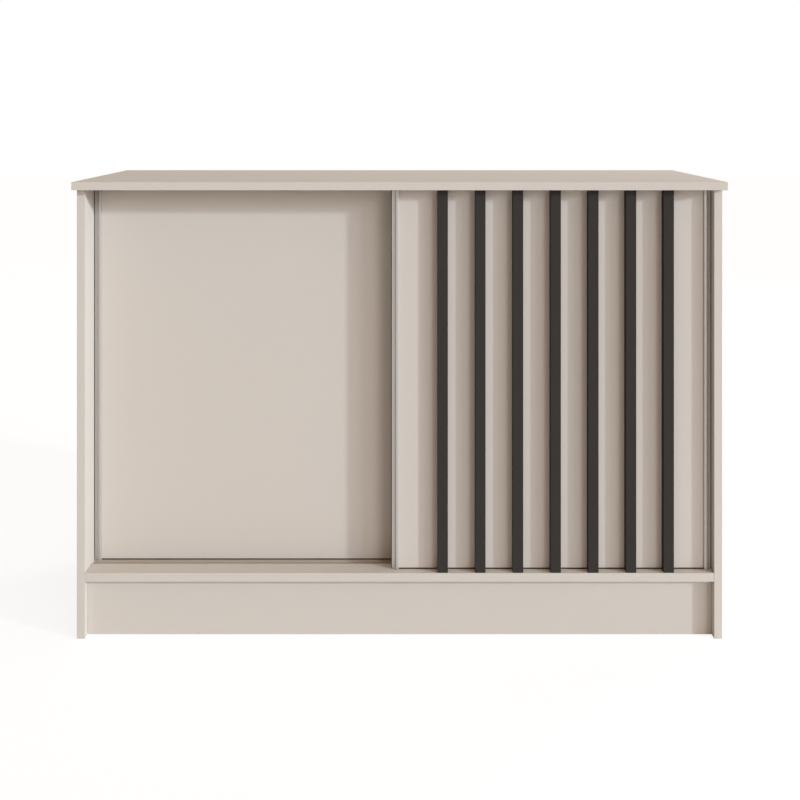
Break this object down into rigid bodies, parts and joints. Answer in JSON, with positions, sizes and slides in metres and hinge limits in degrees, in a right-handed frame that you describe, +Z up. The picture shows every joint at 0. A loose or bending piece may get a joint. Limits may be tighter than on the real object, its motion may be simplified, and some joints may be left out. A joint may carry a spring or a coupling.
{
  "type": "sliding door cabinet",
  "caption": "Low two-door cupboard on a plinth: a plain door and a slatted door slide past each other on rollers, with shelves behind.",
  "frame": {"origin": "on the floor, under the middle of the top board", "axes": "+Z up, -Y to the front of the cabinet, +X to the right seen from the front"},
  "size_m": [1.2, 0.41, 0.843],
  "materials": {
    "laminated_board": "greige melamine laminate, fine matt texture",
    "black_board": "near-black matt laminate",
    "back_fibreboard": "thin painted fibreboard",
    "aluminium": "satin anodised",
    "track_plastic": "extruded plastic to match the board",
    "black_nylon": "moulded nylon",
    "wheel_nylon": "turned nylon",
    "steel": "zinc plated",
    "stop_rubber": "soft rubber"
  },
  "bodies": {
    "cabinet": {"top_panel": "laminated_board", "base_panel": "laminated_board", "left_side_panel": "laminated_board", "right_side_panel": "laminated_board", "centre_partition": "laminated_board", "front_plinth": "laminated_board", "rear_plinth": "laminated_board", "left_shelf": "laminated_board", "right_shelf": "laminated_board", "left_shelf_outer_front_pin": "steel", "left_shelf_outer_rear_pin": "steel", "left_shelf_inner_front_pin": "steel", "left_shelf_inner_rear_pin": "steel", "right_shelf_inner_front_pin": "steel", "right_shelf_inner_rear_pin": "steel", "right_shelf_outer_front_pin": "steel", "right_shelf_outer_rear_pin": "steel", "left_back_panel": "back_fibreboard", "right_back_panel": "back_fibreboard", "back_joining_strip": "track_plastic", "front_bottom_track": "track_plastic", "front_top_track": "track_plastic", "rear_bottom_track": "track_plastic", "rear_top_track": "track_plastic", "front_track_left_stop": "stop_rubber", "front_track_right_stop": "stop_rubber", "rear_track_left_stop": "stop_rubber", "rear_track_right_stop": "stop_rubber"},
    "front_door": {"front_door_panel": "laminated_board", "front_door_left_handle_profile": "aluminium", "front_door_left_roller_housing": "black_nylon", "front_door_left_axle": "steel", "front_door_left_top_guide": "black_nylon", "front_door_right_handle_profile": "aluminium", "front_door_right_roller_housing": "black_nylon", "front_door_right_axle": "steel", "front_door_right_top_guide": "black_nylon", "front_door_slat_1": "black_board", "front_door_slat_2": "black_board", "front_door_slat_3": "black_board", "front_door_slat_4": "black_board", "front_door_slat_5": "black_board", "front_door_slat_6": "black_board", "front_door_slat_7": "black_board"},
    "front_door_left_wheel": {"front_door_left_wheel": "wheel_nylon"},
    "front_door_right_wheel": {"front_door_right_wheel": "wheel_nylon"},
    "rear_door": {"rear_door_panel": "laminated_board", "rear_door_left_handle_profile": "aluminium", "rear_door_left_roller_housing": "black_nylon", "rear_door_left_axle": "steel", "rear_door_left_top_guide": "black_nylon", "rear_door_right_handle_profile": "aluminium", "rear_door_right_roller_housing": "black_nylon", "rear_door_right_axle": "steel", "rear_door_right_top_guide": "black_nylon"},
    "rear_door_left_wheel": {"rear_door_left_wheel": "wheel_nylon"},
    "rear_door_right_wheel": {"rear_door_right_wheel": "wheel_nylon"}
  },
  "joints": [
    {"name": "front_door_slide", "type": "slide", "parent": "cabinet", "child": "front_door", "axis": [1, 0, 0], "range_m": [-0.564, 0]},
    {"name": "front_door_left_wheel_spin", "type": "hinge", "parent": "front_door", "child": "front_door_left_wheel", "pos_m": [0.0435, -0.136, 0.1283], "axis": [0, 1, 0], "continuous": true},
    {"name": "front_door_right_wheel_spin", "type": "hinge", "parent": "front_door", "child": "front_door_right_wheel", "pos_m": [0.5205, -0.136, 0.1283], "axis": [0, 1, 0], "continuous": true},
    {"name": "rear_door_slide", "type": "slide", "parent": "cabinet", "child": "rear_door", "axis": [1, 0, 0], "range_m": [0, 0.564]},
    {"name": "rear_door_left_wheel_spin", "type": "hinge", "parent": "rear_door", "child": "rear_door_left_wheel", "pos_m": [-0.5205, -0.094, 0.1283], "axis": [0, 1, 0], "continuous": true},
    {"name": "rear_door_right_wheel_spin", "type": "hinge", "parent": "rear_door", "child": "rear_door_right_wheel", "pos_m": [-0.0435, -0.094, 0.1283], "axis": [0, 1, 0], "continuous": true}
  ],
  "couplings": [
    {"joint": "front_door_left_wheel_spin", "follows": "front_door_slide", "rad_per_m": 90.909},
    {"joint": "front_door_right_wheel_spin", "follows": "front_door_slide", "rad_per_m": 90.909},
    {"joint": "rear_door_left_wheel_spin", "follows": "rear_door_slide", "rad_per_m": 90.909},
    {"joint": "rear_door_right_wheel_spin", "follows": "rear_door_slide", "rad_per_m": 90.909}
  ]
}
